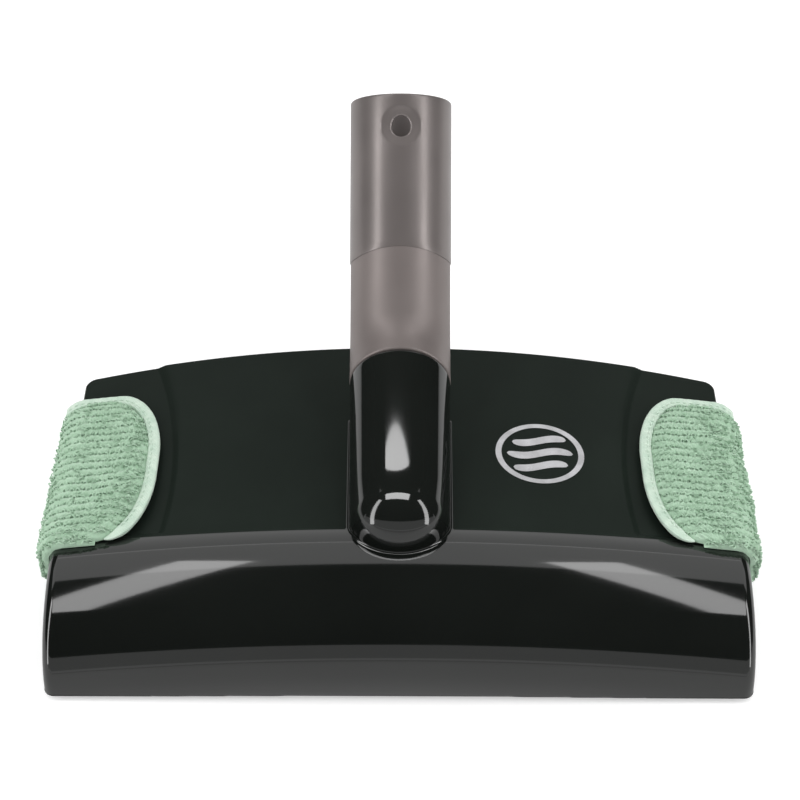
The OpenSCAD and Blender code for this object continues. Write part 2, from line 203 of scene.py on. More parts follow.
def recess_depth(x, y):
    """Depth of the lowered deck ends: a soft step across the arc, and behind the crease."""
    return RECESS_DEEP * smooth((np.abs(x) - recess_edge(y) + 1.4) / 2.8) * smooth((y - CREASE_Y - 0.6) / 2.0)


# ---------- materials ----------

class Nodes:
    """A material's node tree with one Principled shader, and short calls that add textures to it."""

    def __init__(self, name, colour, rough, **sockets):
        self.material = bpy.data.materials.new(name)
        self.material.use_nodes = True
        self.material.diffuse_color = (*colour, 1)
        self.tree = self.material.node_tree
        self.shader = self.tree.nodes["Principled BSDF"]
        self.shader.inputs["Base Color"].default_value = (*colour, 1)
        self.shader.inputs["Roughness"].default_value = rough
        for socket, value in sockets.items():
            self.shader.inputs[socket.replace("_", " ")].default_value = value
        self.place = self.tree.nodes.new("ShaderNodeTexCoord").outputs["Object"]

    def add(self, kind, **settings):
        node = self.tree.nodes.new("ShaderNode" + kind)
        for name, value in settings.items():
            setattr(node, name, value)
        return node

    def link(self, a, b):
        self.tree.links.new(a, b)

    def noise(self, scale, detail=3, stretch=(1, 1, 1)):
        mapping = self.add("Mapping")
        mapping.inputs["Scale"].default_value = stretch
        self.link(self.place, mapping.inputs["Vector"])
        node = self.add("TexNoise")
        node.inputs["Scale"].default_value = scale
        node.inputs["Detail"].default_value = detail
        self.link(mapping.outputs["Vector"], node.inputs["Vector"])
        return node.outputs["Fac"]

    def ramp(self, fac, low, high, a=0.3, b=0.7):
        node = self.add("ValToRGB")
        node.color_ramp.elements[0].position = a
        node.color_ramp.elements[1].position = b
        node.color_ramp.elements[0].color = (*low, 1)
        node.color_ramp.elements[1].color = (*high, 1)
        self.link(fac, node.inputs["Fac"])
        return node.outputs["Color"]

    def span(self, fac, low, high):
        node = self.add("MapRange")
        node.inputs["To Min"].default_value = low
        node.inputs["To Max"].default_value = high
        self.link(fac, node.inputs["Value"])
        return node.outputs["Result"]

    def colour(self, output):
        self.link(output, self.shader.inputs["Base Color"])

    def rough(self, output):
        self.link(output, self.shader.inputs["Roughness"])

    def bump(self, height, depth, strength=1.0):
        node = self.add("Bump")
        node.inputs["Strength"].default_value = strength
        node.inputs["Distance"].default_value = depth
        if self.shader.inputs["Normal"].is_linked:
            self.link(self.shader.inputs["Normal"].links[0].from_socket, node.inputs["Normal"])
        self.link(height, node.inputs["Height"])
        self.link(node.outputs["Normal"], self.shader.inputs["Normal"])


def moulded(name, colour, rough, specular, grain=4000, depth=1.5e-6, **sockets):
    """Moulded plastic: fine grain in the surface, or none where depth is 0, and a roughness and a colour that
    drift a little from place to place."""
    n = Nodes(name, colour, rough, Specular_IOR_Level=specular, **sockets)
    n.rough(n.span(n.noise(38, 4), rough * 0.75, rough * 1.35))
    dark = tuple(c * 0.88 for c in colour)
    light = tuple(c * 1.12 for c in colour)
    n.colour(n.ramp(n.noise(22, 3), dark, light))
    if depth:
        n.bump(n.noise(grain, 2), depth)
    return n.material


def cloth(name, low, high, scale, depth):
    """Fibre cloth: mottled colour from tuft to tuft, fine fibre streaks and a soft sheen."""
    n = Nodes(name, high, 0.92, Specular_IOR_Level=0.15, Sheen_Weight=0.35, Sheen_Roughness=0.5)
    mottle = n.noise(scale, 5)
    n.colour(n.ramp(mottle, low, high))
    n.bump(n.noise(scale * 4, 4), depth, 0.9)
    n.bump(n.noise(scale * 14, 2, (1, 0.35, 1)), depth * 0.4, 0.8)
    n.rough(n.span(mottle, 0.85, 1.0))
    return n.material


def tape(name, low, high, ribs, depth):
    """Woven tape: fine ribs across it, with fibre noise."""
    n = Nodes(name, high, 0.85, Specular_IOR_Level=0.2, Sheen_Weight=0.25)
    wave = n.add("TexWave", wave_type="BANDS", bands_direction="DIAGONAL")
    wave.inputs["Scale"].default_value = ribs
    wave.inputs["Distortion"].default_value = 1.5
    wave.inputs["Detail"].default_value = 2
    n.link(n.place, wave.inputs["Vector"])
    n.colour(n.ramp(n.noise(260, 4), low, high))
    n.bump(wave.outputs["Fac"], depth, 0.8)
    n.bump(n.noise(2600, 3), depth * 0.5, 0.7)
    return n.material


def zinc(name):
    """Bright zinc with fine turning marks and a few duller spots."""
    n = Nodes(name, (0.62, 0.62, 0.64), 0.3, Metallic=1.0)
    n.rough(n.span(n.noise(900, 4, (1, 1, 6)), 0.2, 0.42))
    n.colour(n.ramp(n.noise(150, 4), (0.5, 0.5, 0.51), (0.68, 0.68, 0.7)))
    n.bump(n.noise(3000, 2, (1, 1, 8)), 4e-6)
    return n.material


def hook_tape(name):
    """Moulded hook tape: rows of tiny hooks as a fine grid of bumps."""
    n = Nodes(name, (0.015, 0.015, 0.017), 0.5, Specular_IOR_Level=0.4)
    cells = n.add("TexVoronoi", feature="F1")
    cells.inputs["Scale"].default_value = 750
    cells.inputs["Randomness"].default_value = 0.25
    n.link(n.place, cells.inputs["Vector"])
    n.bump(cells.outputs["Distance"], 0.0005)
    n.colour(n.ramp(cells.outputs["Distance"], (0.03, 0.03, 0.033), (0.006, 0.006, 0.007), 0.1, 0.6))
    return n.material


NOSE_BLACK = moulded("nose_gloss_black", (0.006, 0.007, 0.0062), 0.07, 0.5, 900, 6e-7, Coat_Weight=0.25,
                     Coat_Roughness=0.04)
DECK_BLACK = moulded("deck_black", (0.0095, 0.0135, 0.0108), 0.34, 0.3, 2500, 1.2e-6, IOR=1.15)
INNER_GREY = moulded("inner_grey_plastic", (0.09, 0.09, 0.095), 0.5, 0.4, 2600, 6e-6)
PEWTER = moulded("pewter_wand_plastic", (0.195, 0.172, 0.166), 0.33, 0.6, depth=0, Metallic=0.45)
# The elbow's pewter: a rougher finish than the sleeve's, and a colour a little lighter than the sleeve's, which
# is a painted highlight for the broad highlight across the bend.
ELBOW_PEWTER_LIT = moulded("pewter_elbow_plastic_lit", (0.215, 0.185, 0.177), 0.44, 0.6, depth=0, Metallic=0.4)
ROLLER_GREY = moulded("roller_plastic", (0.12, 0.12, 0.125), 0.42, 0.45, 2200, 5e-6)
LIP_RUBBER = moulded("lip_rubber", (0.02, 0.02, 0.021), 0.7, 0.3, 1500, 1e-5)
STEEL = zinc("pin_zinc")
HOOKS = hook_tape("hook_tape_black")
BACKING = cloth("backing_cloth", (0.52, 0.55, 0.51), (0.66, 0.68, 0.64), 300, 0.0003)
TERRY = cloth("terry_yarn", (0.34, 0.5, 0.36), (0.42, 0.585, 0.44), 210, 0.0004)
BINDING = tape("binding_tape", (0.47, 0.61, 0.5), (0.6, 0.72, 0.61), 520, 0.00012)
STITCH = tape("stitch_thread", (0.5, 0.66, 0.53), (0.66, 0.78, 0.67), 900, 0.0001)
MARK_SILVER = zinc("mark_silver")


# ---------- cover ----------

def nose_profile(t):
    """Cubic Bezier curve of t through four points, from the nose's lower edge forward and up to its level crest:
    the distance y behind the foremost line, and the height z."""
    foot, bulge = (1, NOSE_LOW), (-2.5, 0.57 * NOSE_Z)
    brow, crest = (12, NOSE_Z), (CREST_Y - FRONT_Y, NOSE_Z)
    weights = [(1 - t) ** 3, 3 * (1 - t) ** 2 * t, 3 * (1 - t) * t * t, t ** 3]
    return [sum(w * p[axis] for w, p in zip(weights, (foot, bulge, brow, crest))) for axis in (0, 1)]


def cover_profile():
    """Rows of the nose and shoulder from front to back, y and z: the nose's curve, then a shoulder that falls
    with the square of the distance from the crest to the crease."""
    t = np.linspace(0, 1, 49)
    ny, nz = nose_profile(t)
    s = np.linspace(0, 1, 11)[1:]
    sy = CREST_Y + (CREASE_Y - CREST_Y) * s
    sz = NOSE_Z - (NOSE_Z - CREASE_Z) * s * s
    return np.concatenate([ny + FRONT_Y, sy]), np.concatenate([nz, sz])


def back_outline(x, inset):
    """Back edge of the deck at x, moved in by inset, with its outward direction: a bow with round corners."""
    r = BACK_CORNER_R - inset
    xb = HALF_DECK - BACK_CORNER_R
    out = np.clip((np.abs(x) - xb) / r, 0, 1)
    bow = BACK_Y - np.minimum(np.abs(x), xb) ** 2 / (2 * BOW_R)
    y = bow - BACK_CORNER_R + r * np.sqrt(1 - out ** 2)
    nx = np.where(np.abs(x) > xb, out, np.minimum(np.abs(x), xb) / BOW_R) * np.sign(x)
    return y, nx, np.sqrt(1 - np.clip(np.abs(nx), 0, 1) ** 2)


def cover_columns():
    """Column numbers across the cover: 0 in the middle, 1 before the recess step, 2 after it, 3 at the edge
    round, closer together near the middle, the step and the edge; the left half is the right one turned over."""
    middle = np.unique(np.concatenate([np.linspace(0, 0.14, 8), np.linspace(0.14, 0.235, 9),
                                       np.linspace(0.235, 1, 30)]))
    step = np.linspace(1, 2, 8)[1:]
    far = 0.72 + 0.28 * np.sin(np.linspace(0, 1, 12)[1:] * math.pi / 2)
    end = 2 + np.concatenate([np.linspace(0, 0.72, 16)[1:], far])
    right = np.concatenate([middle, step, end])
    return np.concatenate([-right[:0:-1], right])


def across(columns, y_row, half, edge_r):
    """x of each column in one row: even to the recess arc, its step, then out to where the edge round starts."""
    edge = recess_edge(y_row)
    far = np.abs(columns)
    middle = far * (edge - STEP_HALF)
    step = edge - STEP_HALF + (far - 1) * 2 * STEP_HALF
    end = edge + STEP_HALF + (far - 2) * (half - edge_r - edge - STEP_HALF)
    return np.sign(columns) * np.where(far <= 1, middle, np.where(far <= 2, step, end))


def end_wall(x_edge, edge_r, y_row, height, normal, foot, phi, drop):
    """Quarter round and end wall of one row on the right: in along the row's normal by r (1 - cos) as x runs out
    by r sin, then straight down to the foot."""
    x = x_edge + edge_r * np.sin(phi)
    inn = edge_r * (1 - np.cos(phi))
    curve = np.stack([x, y_row - inn * normal[0], height(x) - inn * normal[1]], 1)
    top = curve[-1]
    wall = np.stack([np.full_like(drop, top[0]), top[1] + (foot[0] - top[1]) * drop,
                     top[2] + (foot[1] - top[2]) * drop], 1)
    return np.concatenate([curve, wall])


def cover_sheet(g):
    """Grid of the cover moved outwards by g. Across: the middle, warped to the recess arc, then a quarter round
    and the end wall. Along: the nose curve, the shoulder, the deck, then a quarter round and the back wall."""
    round_steps, wall_steps, deck_rows = 7, 5, 74
    y, z = cover_profile()
    dy, dz = np.gradient(y), np.gradient(z)
    length = np.hypot(dy, dz)
    up = np.stack([-dz / length, dy / length], 1)
    up[-1] = DECK_NORMAL
    nose_rows = len(y)
    columns = cover_columns()
    shares = np.concatenate([np.linspace(0, 0.05, 6)[1:], np.linspace(0.05, 1, deck_rows - 5)[1:]])
    phi = np.linspace(0, 1, round_steps + 1)[1:] * math.pi / 2
    drop = np.linspace(0, 1, wall_steps + 1)[1:]
    lead = round_steps + wall_steps
    base = nose_rows + len(shares)
    pts = np.zeros((base + lead, len(columns) + 2 * lead, 3))
    middle = slice(lead, lead + len(columns))

    def close_ends(r, *row):
        """The same end wall on the right and, turned over, on the left of row r."""
        end = end_wall(*row, phi, drop)
        pts[r, lead + len(columns):] = end
        pts[r, :lead] = end[::-1] * (-1, 1, 1)

    half_nose, half_deck = HALF_NOSE + g, HALF_DECK + g
    nose_round = NOSE_EDGE_R + min(g, 0)
    foot_start = FRONT_Y + 1 - g + nose_round
    for r in range(nose_rows):
        y_row = y[r] + g * up[r, 0]
        z_row = NOSE_LOW if r == 0 else max(z[r] + g * up[r, 1], NOSE_LOW)
        half = half_nose if r < nose_rows - 1 else half_deck
        edge_r = nose_round if r < nose_rows - 2 else DECK_EDGE_R + 1.2 * (r < nose_rows - 1)
        x = across(columns, CREASE_Y, half, edge_r)
        pts[r, middle] = np.stack([x, np.full_like(x, y_row), np.maximum(z_row - crown_drop(x), NOSE_LOW)], 1)
        foot_y = foot_start + r / (nose_rows - 1) * (CREASE_Y - foot_start)
        close_ends(r, half - edge_r, edge_r, y_row,
                   lambda at, top=z_row: np.maximum(top - crown_drop(at), NOSE_LOW), up[r], (foot_y, NOSE_LOW))
    edge_r = DECK_EDGE_R
    deck_start = CREASE_Y + 0.05

    def deck_top(x, y):
        return deck_z(x, y) - recess_depth(x, y) + g

    for k, share in enumerate(shares):
        x = across(columns, deck_start + share * (BACK_Y - deck_start), half_deck, edge_r)
        y_back, _, _ = back_outline(x, edge_r - g)
        y_row = deck_start + share * (y_back - deck_start)
        pts[nose_rows + k, middle] = np.stack([x, y_row, deck_top(x, y_row)], 1)
        y_end = y_row[-1]
        close_ends(nose_rows + k, half_deck - edge_r, edge_r, y_end,
                   lambda at, y_end=y_end: deck_top(at, y_end), (0, 1), (y_end, DECK_LOW))
    x = across(columns, BACK_Y, half_deck, edge_r)
    y_back, nx, ny = back_outline(x, edge_r - g)
    z_back = deck_top(x, y_back)
    for k, turn in enumerate(phi):
        out, inn = edge_r * math.sin(turn), edge_r * (1 - math.cos(turn))
        pts[base + k, middle] = np.stack([x + nx * out, y_back + ny * out, z_back - inn], 1)
    last = pts[base + round_steps - 1, middle]
    for k, fall in enumerate(drop):
        pts[base + round_steps + k, middle] = last
        pts[base + round_steps + k, middle, 2] = last[:, 2] + (DECK_LOW - last[:, 2]) * fall
    return pts, (nose_rows, len(shares), lead, len(columns))


def hump_inside(x, y, inset):
    """True where a point of the plan lies inside the ridge's outline, moved in by inset: within the half-width
    from tip to mouth, or in the ellipse round the tip."""
    half = hump_half(y) - inset
    tip = (x / (18.0 - inset)) ** 2 + ((y - HUMP_TIP_Y) / (HUMP_REACH - inset)) ** 2 < 1
    return ((np.abs(x) < half) & (y > HUMP_TIP_Y) & (y < MOUTH_Y - inset)) | tip


def hump_half(y):
    """Half-width of the ridge, which widens evenly from its tip to its mouth."""
    t = np.clip((y - HUMP_TIP_Y) / (MOUTH_Y - HUMP_TIP_Y), 0, 1)
    return HUMP_TIP_HALF + HUMP_FLARE * t


def hump_axis(y):
    """Height of the ridge's axis: straight, rising to the swivel, z = swivel - slope (mouth - y), and levelling
    off over the last LEVEL mm before the tip, where slope (LEVEL - u)^2 / (2 LEVEL) is added, u from the tip."""
    u = np.clip(y - HUMP_TIP_Y, 0, HUMP_LEVEL)
    return SWIVEL_Z - (MOUTH_Y - y) * HUMP_SLOPE + HUMP_SLOPE * (HUMP_LEVEL - u) ** 2 / (2 * HUMP_LEVEL)


def make_cover():
    """The nose and deck as one closed wall, open under the ridge, gloss on the nose and satin on the deck."""
    outer, (nose_rows, deck_rows, lead, mid) = cover_sheet(0)
    inner, _ = cover_sheet(-WALL)
    rows, cols = outer.shape[:2]
    faces = grid_faces(rows, cols)
    i, j = faces[:, 0] // cols, faces[:, 0] % cols
    last_top = nose_rows + deck_rows - 1
    corner = (i >= last_top) & ((j < lead) | (j >= lead + mid - 1))
    flat = outer.reshape(-1, 3)
    under = hump_inside(flat[:, 0], flat[:, 1], 0.5)
    keep = ~corner & ~under[faces].all(1)
    kept = faces[keep][:, ::-1]
    verts, quads = shell(flat, inner.reshape(-1, 3), kept)
    front = (i[keep] < nose_rows - 1).astype(int)
    slots = np.concatenate([1 - front, 1 - front, np.ones(len(quads) - 2 * len(kept), int)])
    obj = mesh_piece("cover_shell", verts, quads, [NOSE_BLACK, DECK_BLACK], 32, slots, weld=0.02)
    return hand_over(obj, "top_cover", "head")


def hump_sheet(g):
    """The ridge moved outwards by g. Along: round the U-shaped outline from mouth to tip to mouth. Down: an arc
    from the top line to the side, an upright wall, and a hollow fillet that ends flat on the deck."""
    lip, lip_steps, run_steps = 0.8, 6, 40
    edge = np.linspace(0, 1, lip_steps) * math.pi / 2
    run = np.concatenate([MOUTH_Y - lip + lip * np.cos(edge),
                          np.linspace(MOUTH_Y - lip, HUMP_TIP_Y, run_steps + 1)[1:]])
    inset = np.concatenate([lip * (1 - np.sin(edge)), np.zeros(run_steps)])
    theta = np.linspace(math.pi / 2, -math.pi / 2, 41)[1:-1]
    y_axis = np.concatenate([run, np.full(len(theta), HUMP_TIP_Y), run[::-1]])
    inset = np.concatenate([inset, np.zeros(len(theta)), inset[::-1]])
    nx = np.concatenate([np.ones(len(run)), np.sin(theta), -np.ones(len(run))])
    ny = np.concatenate([np.zeros(len(run)), -np.cos(theta), np.zeros(len(run))])
    radius = hump_half(y_axis) + g - inset
    span_x, span_y = nx * radius, ny * (HUMP_REACH + g)
    axis = hump_axis(y_axis)
    along = np.clip((MOUTH_Y - y_axis) / (MOUTH_Y - HUMP_TIP_Y), 0, 1)
    fillet = np.full_like(ny, 0.6) if g < 0 else 1.3 + 0.5 * along + 0.8 * ny
    start = top_z(span_x, y_axis + span_y) + min(g, 0) + fillet
    end = np.where(axis >= start, math.pi / 2, np.arccos(np.clip((start - axis) / radius, -1, 1)))
    wall = np.maximum(axis - start, 0)
    s = np.linspace(0, 1, 27)[:, None] * (radius * end + wall)
    phi = np.minimum(s / radius, end)
    fall = np.maximum(s - radius * end, 0)
    upper = np.stack([span_x * np.sin(phi), y_axis + span_y * np.sin(phi),
                      axis + radius * np.cos(phi) - fall], 2)
    side = upper[-1]
    away = np.stack([nx * fillet, ny * fillet, np.zeros_like(nx)], 1)
    out = side + away
    out[:, 2] = top_z(out[:, 0], out[:, 1]) + (g if g < 0 else -0.03)
    foot = side + away * np.cos(end)[:, None]
    foot[:, 2] = out[:, 2]
    w = np.linspace(0, 1, 9)[1:, None, None]
    return np.concatenate([upper, (1 - w) ** 2 * side + 2 * (1 - w) * w * foot + w * w * out])


def top_z(x, y):
    """Height of the cover's top at a point of the plan: nose curve, shoulder and deck, less the crown."""
    s = np.clip((y - CREST_Y) / (CREASE_Y - CREST_Y), 0, 1)
    t = np.linspace(0.3, 1, 60)
    ny, nz = nose_profile(t)
    nose = np.interp(y, ny + FRONT_Y, nz)
    shoulder = NOSE_Z - (NOSE_Z - CREASE_Z) * s * s
    front = np.where(y < CREST_Y, nose, shoulder)
    return np.where(y < CREASE_Y, front - crown_drop(x), deck_z(x, y))


def make_hump():
    """The ridge as a closed wall, and the plate round its mouth that the elbow's spigot turns in."""
    outer, inner = hump_sheet(0), hump_sheet(-WALL)
    rows, cols = outer.shape[:2]
    verts, quads = shell(outer.reshape(-1, 3), inner.reshape(-1, 3), grid_faces(rows, cols))
    n = 96
    a = np.linspace(0, 2 * math.pi, n, endpoint=False)
    rim = 17.9
    low = float(deck_z(0, MOUTH_Y)) - 1.5
    skirt = np.sign(np.sin(a)) * np.minimum(1, 1.25 * np.abs(np.sin(a)) + 0.15)
    border = np.stack([rim * np.where(np.cos(a) < 0, skirt, np.sin(a)),
                       np.maximum(SWIVEL_Z + rim * np.cos(a), low)], 1)
    bore = np.stack([MOUTH_R * np.sin(a), SWIVEL_Z + MOUTH_R * np.cos(a)], 1)
    face, back = MOUTH_Y - 0.35, MOUTH_Y - 2.7
    loops = [(border, face), (bore, face), (bore, back), (border, back)]
    plate = np.stack([np.stack([p[:, 0], np.full(n, y), p[:, 1]], 1) for p, y in loops]).reshape(-1, 3)
    plate_faces = grid_faces(4, n, True, True, len(verts))
    obj = mesh_piece("cover_ridge", np.concatenate([verts, plate]), np.concatenate([quads, plate_faces]),
                     [NOSE_BLACK], 38, weld=0.02)
    return hand_over(obj, "top_cover", "head")


# ---------- elbow and sleeve ----------

def wand_point(length, radius, angle):
    """Points round the wand's axis: length past the bend, radius, and angle from its upper side."""
    across = radius * np.sin(angle)
    upward = radius * np.cos(angle)
    y0, z0 = BEND_Y + BEND_R * math.sin(TILT), SWIVEL_Z + BEND_R * (1 - math.cos(TILT))
    return np.stack([across, y0 + length * math.cos(TILT) - upward * math.sin(TILT),
                     z0 + length * math.sin(TILT) + upward * math.cos(TILT)], -1)


def path_rings(stations, n=144):
    """Rings of a tube whose line runs back, bends up by the wand's tilt, then runs straight. Each station is a
    distance along that line, counted from the start of the bend, and a radius."""
    a = np.linspace(0, 2 * math.pi, n, endpoint=False)
    rings = []
    arc = BEND_R * TILT
    for s, r in stations:
        turn = min(max(s / BEND_R, 0), TILT)
        extra = min(s, 0) + max(s - arc, 0)
        y = BEND_Y + BEND_R * math.sin(turn) + extra * math.cos(turn)
        z = SWIVEL_Z + BEND_R * (1 - math.cos(turn)) + extra * math.sin(turn)
        up = r * np.cos(a)
        rings.append(np.stack([r * np.sin(a), y - up * math.sin(turn), z + up * math.cos(turn)], 1))
    return np.concatenate(rings), len(rings), n


def make_elbow():
    """The elbow as one closed tube: spigot, shoulder with a soft edge, bend, and the neck inside the sleeve."""
    arc = BEND_R * TILT
    face = SHOULDER_Y - BEND_Y
    rim = ELBOW_R - SHOULDER_ROUND
    stations = [(face - SPIGOT_LENGTH, SPIGOT_R), (face, SPIGOT_R), (face, rim)]
    stations += [(face + SHOULDER_ROUND * (1 - math.cos(t)), rim + SHOULDER_ROUND * math.sin(t))
                 for t in np.linspace(0.3, 1.57, 4)]
    stations += [(s, ELBOW_R) for s in np.linspace(face + 1.6, arc + 20, 36)]
    stations += [(arc + SLEEVE_START - 0.1, ELBOW_R), (arc + SLEEVE_START, NECK_R), (arc + NECK_END, NECK_R)]
    inner = [(arc + NECK_END, DUCT_R)] + [(s, DUCT_R) for s in np.linspace(arc, 0, 16)]
    inner += [(face, SPIGOT_BORE), (face - SPIGOT_LENGTH, SPIGOT_BORE)]
    verts, rows, n = path_rings(stations + inner)
    obj = mesh_piece("elbow_tube", verts, grid_faces(rows, n, True, True), [ELBOW_PEWTER_LIT], 35)
    return hand_over(obj, "swivel_elbow", "elbow")


def hole_patch(n, hole, half_u, half_v, rings):
    """Rings from a round hole out to a rectangle whose border has n steps a side: u and v of each point."""
    t = np.linspace(-1, 1, n + 1)[:-1]
    border = np.concatenate([np.stack([t, -np.ones(n)], 1), np.stack([np.ones(n), t], 1),
                             np.stack([-t, np.ones(n)], 1), np.stack([-np.ones(n), -t], 1)])
    border = border * (half_u, half_v)
    angle = np.arctan2(border[:, 1], border[:, 0])
    circle = np.stack([hole * np.cos(angle), hole * np.sin(angle)], 1)
    w = rings[:, None, None]
    return (1 - w) * circle + w * border


def make_sleeve():
    """The sleeve as one closed tube with a lower bevel, a round lip, and a lock hole in a shallow dimple. Round
    the hole the grid gives way to rings that run from the hole to a rectangle of grid lines."""
    n = 128
    side = 16
    angle_step = 2 * math.pi / n
    half_angle = side / 2 * angle_step
    half_len = 8.2
    dimple_r, dimple_deep = 15.8, 1.9
    a = np.linspace(-half_angle, 2 * math.pi - half_angle, n, endpoint=False)
    patch_rows = np.linspace(LOCK_AT - half_len, LOCK_AT + half_len, side + 1)
    start, lip = SLEEVE_START, SLEEVE_LIP
    lower = [(start, NECK_R), (start, 18.6), (start + 0.01, 18.6), (start + 0.2, 18.95)]
    lower += [(s, SLEEVE_R) for s in (start + 0.7, 30, 36, 42, 50)]
    skirt = np.array([0, 0, 1, 1, 1, 1, 0.5, 0.2, 0])
    quarter = np.linspace(0, 1.57, 7)
    upper = [(78, SLEEVE_R)]
    upper += [(SLEEVE_LIP_AT + lip * math.sin(t), SLEEVE_R - lip + lip * math.cos(t)) for t in quarter]
    upper += [(SLEEVE_LIP_AT + lip * math.cos(t), SOCKET_R + lip - lip * math.sin(t)) for t in quarter]
    inner_low = [(50, SOCKET_R), (SLEEVE_STOP, SOCKET_R), (SLEEVE_STOP, NECK_R)]
    stations = lower + [(s, SLEEVE_R) for s in patch_rows] + upper + [(s, SOCKET_R) for s in patch_rows[::-1]]
    stations += inner_low
    length = np.array([s[0] for s in stations])
    radius = np.array([s[1] for s in stations])
    sag = np.zeros((len(stations), 1))
    sag[:len(skirt), 0] = skirt
    sag = sag * (3.5 + 4.5 * np.sin(a[None, :]) ** 2)
    grid = wand_point(length[:, None] - sag, radius[:, None], a[None, :])
    faces = grid_faces(len(stations), n, True, True)
    i, j = faces[:, 0] // n, faces[:, 0] % n
    first_out = len(lower)
    first_in = len(lower) + side + 1 + len(upper)
    cut = (j < side) & (((i >= first_out) & (i < first_out + side)) | ((i >= first_in) & (i < first_in + side)))
    faces = faces[~cut]
    dimple_edge = math.sqrt(dimple_r ** 2 - (dimple_r - dimple_deep) ** 2)
    w = np.concatenate([[0], np.linspace(0.02, 0.55, 12), np.linspace(0.62, 1, 7)])
    half_u = half_angle * SLEEVE_R
    uv = hole_patch(side, LOCK_R, half_u, half_len, w)
    away = np.hypot(uv[..., 0], uv[..., 1])
    dip = np.sqrt(np.maximum(dimple_r ** 2 - away ** 2, 0)) - (dimple_r - dimple_deep)
    dip = 0.5 * (dip + np.sqrt(dip ** 2 + 0.004)) * smooth((dimple_edge + 1.2 - away) / 1.2)
    edge = 0.25 * smooth((LOCK_R + 0.35 - away) / 0.35)
    out_patch = wand_point(LOCK_AT + uv[..., 1], SLEEVE_R - dip - edge, uv[..., 0] / SLEEVE_R)
    in_uv = hole_patch(side, LOCK_R, half_angle * SOCKET_R, half_len, np.linspace(0, 1, 8))
    in_patch = wand_point(LOCK_AT + in_uv[..., 1], np.full(in_uv.shape[:2], SOCKET_R), in_uv[..., 0] / SOCKET_R)
    verts = np.concatenate([grid.reshape(-1, 3), out_patch.reshape(-1, 3), in_patch.reshape(-1, 3)])
    o, m = len(stations) * n, 4 * side
    p = o + len(w) * m
    ring = np.arange(m)
    tube = np.stack([o + ring, o + (ring + 1) % m, p + (ring + 1) % m, p + ring], 1)
    faces = np.concatenate([faces, grid_faces(len(w), m, False, True, o), grid_faces(8, m, False, True, p),
                            tube])
    obj = mesh_piece("sleeve_tube", verts, faces, [PEWTER], 35, weld=0.02)
    return hand_over(obj, "wand_sleeve", "elbow")


# ---------- terry pad ----------

PILE_ROW = 3.7
TUFT = 2.0


def flap_ground(x, y):
    """Height of the lowered deck end under a flap, carried on past the end of the deck."""
    return deck_z(x, y) - RECESS_DEEP


def terry_height(across, along, seed):
    """Height of the pile: soft rows a row pitch apart that wander a little, each broken into tufts."""
    wander = 0.55 * np.sin(across / 9.0 + seed) + 0.35 * np.sin(across / 4.1 + 2.3 * seed + along / 17)
    row = (along + wander) / PILE_ROW
    crest = 0.5 + 0.5 * np.cos(2 * math.pi * row)
    shift = np.floor(row + 0.5) * 2.4
    tuft = 0.5 + 0.5 * np.cos(2 * math.pi * (across / TUFT + shift + 0.3 * np.sin(along / 3)))
    lumps = np.sin(across / 6.3 + 1.7 * seed) * np.sin(along / 7.9 + seed)
    return 0.75 * crest ** 0.8 + 0.4 * tuft * crest + 0.22 * lumps


def yarn_loops(points, tangents, normals, size, seed):
    """Small closed rings of yarn, one at each point: a ring of eight steps and three sides that stands on the
    surface, turned a little at random about its normal. Returns points and faces."""
    draw = np.random.default_rng(seed)
    n = len(points)
    turn = draw.uniform(-0.7, 0.7, n)[:, None]
    lean = draw.uniform(-0.45, 0.45, n)[:, None]
    scale = (size * draw.uniform(0.75, 1.25, n))[:, None]
    side = np.cross(normals, tangents)
    t = tangents * np.cos(turn) + side * np.sin(turn)
    b = np.cross(normals, t)
    up = normals * np.cos(lean) + b * np.sin(lean)
    flat = np.cross(t, up)
    steps, sides, thick = 8, 3, 0.3
    a = np.linspace(0, 2 * math.pi, steps, endpoint=False)
    c = np.linspace(0, 2 * math.pi, sides, endpoint=False)
    verts = []
    for u in a:
        out = t * math.cos(u) * 0.75 + up * math.sin(u)
        for v in c:
            centre = points + out * scale
            verts.append(centre + thick * (out * math.cos(v) + flat * math.sin(v)))
    verts = np.stack(verts, 1).reshape(-1, 3)
    one = grid_faces(steps, sides, True, True)
    faces = (one[None] + (np.arange(n) * steps * sides)[:, None, None]).reshape(-1, 4)
    return verts, faces


def flap_edge(y, inset):
    """Inner edge of a flap at y, moved in by inset: straight in the middle, with a long elliptic corner at the
    back and another at the front, where the flap meets the crease."""
    back = np.clip((y - FLAP_BACK_ROUND) / (FLAP_BACK - FLAP_BACK_ROUND - inset), 0, 1)
    front = np.clip((FLAP_FRONT_ROUND - y) / (FLAP_TIP - inset * 0.6), 0, 1)
    bite = BITE_BACK * (1 - np.sqrt(1 - back ** 2)) + BITE_FRONT * (1 - np.sqrt(1 - front ** 2))
    return FLAP_IN + inset + bite


